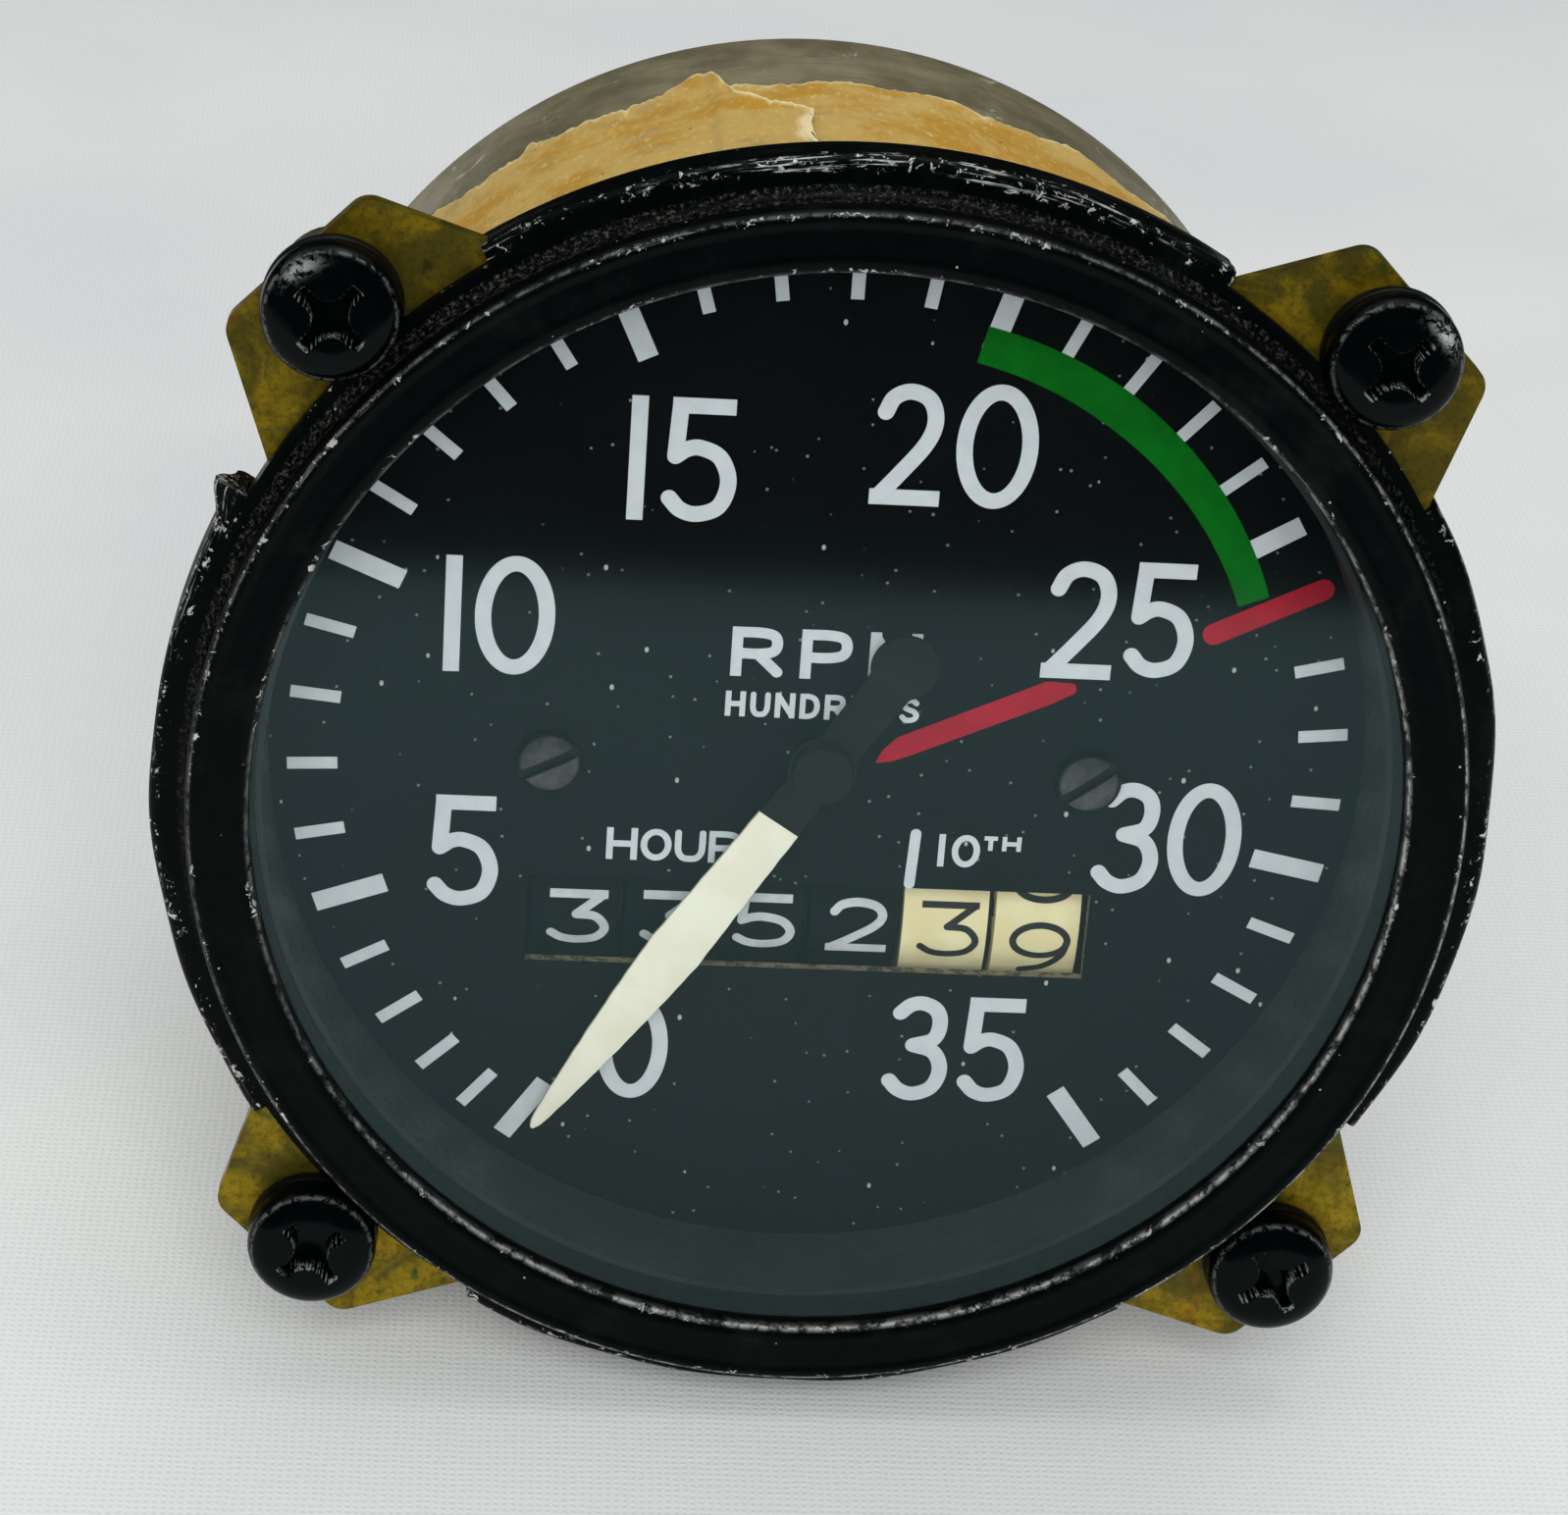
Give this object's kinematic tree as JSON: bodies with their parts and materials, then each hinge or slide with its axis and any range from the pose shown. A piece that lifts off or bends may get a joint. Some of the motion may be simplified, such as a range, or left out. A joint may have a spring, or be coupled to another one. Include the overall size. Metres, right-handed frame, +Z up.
{
  "type": "aircraft tachometer",
  "caption": "Round panel-mounted aircraft tachometer with a pointer dial, an hour counter behind a dial window, four screw lugs and a rear cable-drive stem.",
  "frame": {"origin": "on the dial axis in the panel plane, the front face of the four lugs", "axes": "the dial faces -Y, +Z is up through twelve o'clock, +X is to the viewer's right, and the drive stem points along +Y"},
  "size_m": [0.084, 0.073, 0.084],
  "materials": {
    "case_metal": "dull bare drawn steel, scratched and stained",
    "lug_plate": "yellow-passivated steel, olive, iridescent",
    "black_paint": "black paint, chipped to bare metal on the edges",
    "black_screw": "black oxide, polished by use",
    "gasket_rubber": "black sealing rubber",
    "glass": "clear flat glass, light dust",
    "dial_black": "matt black dial paint",
    "pointer_paint": "cream paint with a black hub and tail",
    "drum_black": "black number drum",
    "drum_cream": "cream number drum",
    "brass": "machined brass",
    "steel": "turned steel",
    "aluminium": "spun aluminium",
    "bronze": "sintered bronze",
    "iron": "soft iron",
    "zinc_alloy": "die-cast housing",
    "paper": "aged paper tape, torn at one edge"
  },
  "bodies": {
    "case": {"case_can": "case_metal", "mounting_ring": "lug_plate", "mounting_nuts": "lug_plate", "mounting_screws": "black_screw", "screw_washers": "black_screw", "bezel": "black_paint", "glass_gasket": "gasket_rubber", "front_glass": "glass", "dial_spacer": "dial_black", "dial_plate": "dial_black", "dial_screws": "black_screw", "dial_posts": "brass", "front_plate": "brass", "frame_pillars": "brass", "rear_plate": "brass", "frame_screws": "steel", "case_standoffs": "brass", "case_screws": "steel", "counter_cheeks": "brass", "drum_axle": "steel", "transfer_plates": "steel", "transfer_rod": "steel", "drive_housing": "zinc_alloy", "stem_nut": "zinc_alloy", "drive_bush": "bronze", "shaft_bush": "bronze", "flux_ring": "iron", "staff_bush": "bronze", "hairspring": "steel", "hairspring_stud": "brass", "cross_brackets": "brass", "paper_tape": "paper"},
    "pointer_unit": {"pointer": "pointer_paint", "pointer_hub": "black_paint", "pointer_staff": "steel", "hairspring_collet": "brass", "drag_cup": "aluminium"},
    "drive_rotor": {"drive_shaft": "steel", "drive_worm": "steel", "drive_magnet": "iron"},
    "cross_unit": {"cross_shaft": "steel", "cross_wheel": "brass", "cross_worm": "steel"},
    "lay_unit": {"lay_shaft": "steel", "lay_wheel": "brass", "lay_worm": "steel"},
    "hundredths_unit": {"drum_hundredths": "drum_cream", "counter_wheel": "brass"},
    "tenths_unit": {"drum_tenths": "drum_cream"},
    "units_unit": {"drum_units": "drum_black"},
    "tens_unit": {"drum_tens": "drum_black"},
    "hundreds_unit": {"drum_hundreds": "drum_black"},
    "thousands_unit": {"drum_thousands": "drum_black"},
    "pinion_1": {"transfer_pinion_1": "brass"},
    "pinion_2": {"transfer_pinion_2": "brass"},
    "pinion_3": {"transfer_pinion_3": "brass"},
    "pinion_4": {"transfer_pinion_4": "brass"},
    "pinion_5": {"transfer_pinion_5": "brass"}
  },
  "joints": [
    {"name": "pointer_sweep", "type": "hinge", "parent": "case", "child": "pointer_unit", "pos_m": [0, 0.0065, 0], "axis": [0, 1, 0], "range_deg": [0, 291], "stiffness_Nm_per_rad": 0.00002, "springref_deg": -17.19},
    {"name": "drive_spin", "type": "hinge", "parent": "case", "child": "drive_rotor", "pos_m": [0, 0.04354, 0], "axis": [0, -1, 0], "continuous": true},
    {"name": "cross_spin", "type": "hinge", "parent": "case", "child": "cross_unit", "pos_m": [0, 0.04354, -0.00734], "axis": [1, 0, 0], "continuous": true},
    {"name": "lay_spin", "type": "hinge", "parent": "case", "child": "lay_unit", "pos_m": [0.02141, 0.04354, -0.00204], "axis": [0, -1, 0], "continuous": true},
    {"name": "thousands_spin", "type": "hinge", "parent": "case", "child": "thousands_unit", "pos_m": [0, 0.0173, -0.01193], "axis": [1, 0, 0], "continuous": true},
    {"name": "hundreds_spin", "type": "hinge", "parent": "case", "child": "hundreds_unit", "pos_m": [0, 0.0173, -0.01193], "axis": [1, 0, 0], "continuous": true},
    {"name": "tens_spin", "type": "hinge", "parent": "case", "child": "tens_unit", "pos_m": [0, 0.0173, -0.01193], "axis": [1, 0, 0], "continuous": true},
    {"name": "units_spin", "type": "hinge", "parent": "case", "child": "units_unit", "pos_m": [0, 0.0173, -0.01193], "axis": [1, 0, 0], "continuous": true},
    {"name": "tenths_spin", "type": "hinge", "parent": "case", "child": "tenths_unit", "pos_m": [0, 0.0173, -0.01193], "axis": [1, 0, 0], "continuous": true},
    {"name": "hundredths_spin", "type": "hinge", "parent": "case", "child": "hundredths_unit", "pos_m": [0, 0.0173, -0.01193], "axis": [1, 0, 0], "continuous": true},
    {"name": "pinion_1_spin", "type": "hinge", "parent": "case", "child": "pinion_1", "pos_m": [0, 0.02131, -0.01473], "axis": [1, 0, 0], "continuous": true},
    {"name": "pinion_2_spin", "type": "hinge", "parent": "case", "child": "pinion_2", "pos_m": [0, 0.02131, -0.01473], "axis": [1, 0, 0], "continuous": true},
    {"name": "pinion_3_spin", "type": "hinge", "parent": "case", "child": "pinion_3", "pos_m": [0, 0.02131, -0.01473], "axis": [1, 0, 0], "continuous": true},
    {"name": "pinion_4_spin", "type": "hinge", "parent": "case", "child": "pinion_4", "pos_m": [0, 0.02131, -0.01473], "axis": [1, 0, 0], "continuous": true},
    {"name": "pinion_5_spin", "type": "hinge", "parent": "case", "child": "pinion_5", "pos_m": [0, 0.02131, -0.01473], "axis": [1, 0, 0], "continuous": true}
  ],
  "couplings": [
    {"joint": "cross_spin", "follows": "drive_spin", "ratio": -0.05},
    {"joint": "lay_spin", "follows": "drive_spin", "ratio": 0.0041667},
    {"joint": "thousands_spin", "follows": "drive_spin", "ratio": -0.0000000013889},
    {"joint": "hundreds_spin", "follows": "drive_spin", "ratio": -0.000000013889},
    {"joint": "tens_spin", "follows": "drive_spin", "ratio": -0.00000013889},
    {"joint": "units_spin", "follows": "drive_spin", "ratio": -0.0000013889},
    {"joint": "tenths_spin", "follows": "drive_spin", "ratio": -0.000013889},
    {"joint": "hundredths_spin", "follows": "drive_spin", "ratio": -0.00013889},
    {"joint": "pinion_1_spin", "follows": "drive_spin", "ratio": -0.0000000046296},
    {"joint": "pinion_2_spin", "follows": "drive_spin", "ratio": -0.000000046296},
    {"joint": "pinion_3_spin", "follows": "drive_spin", "ratio": -0.00000046296},
    {"joint": "pinion_4_spin", "follows": "drive_spin", "ratio": -0.0000046296},
    {"joint": "pinion_5_spin", "follows": "drive_spin", "ratio": -0.000046296}
  ]
}
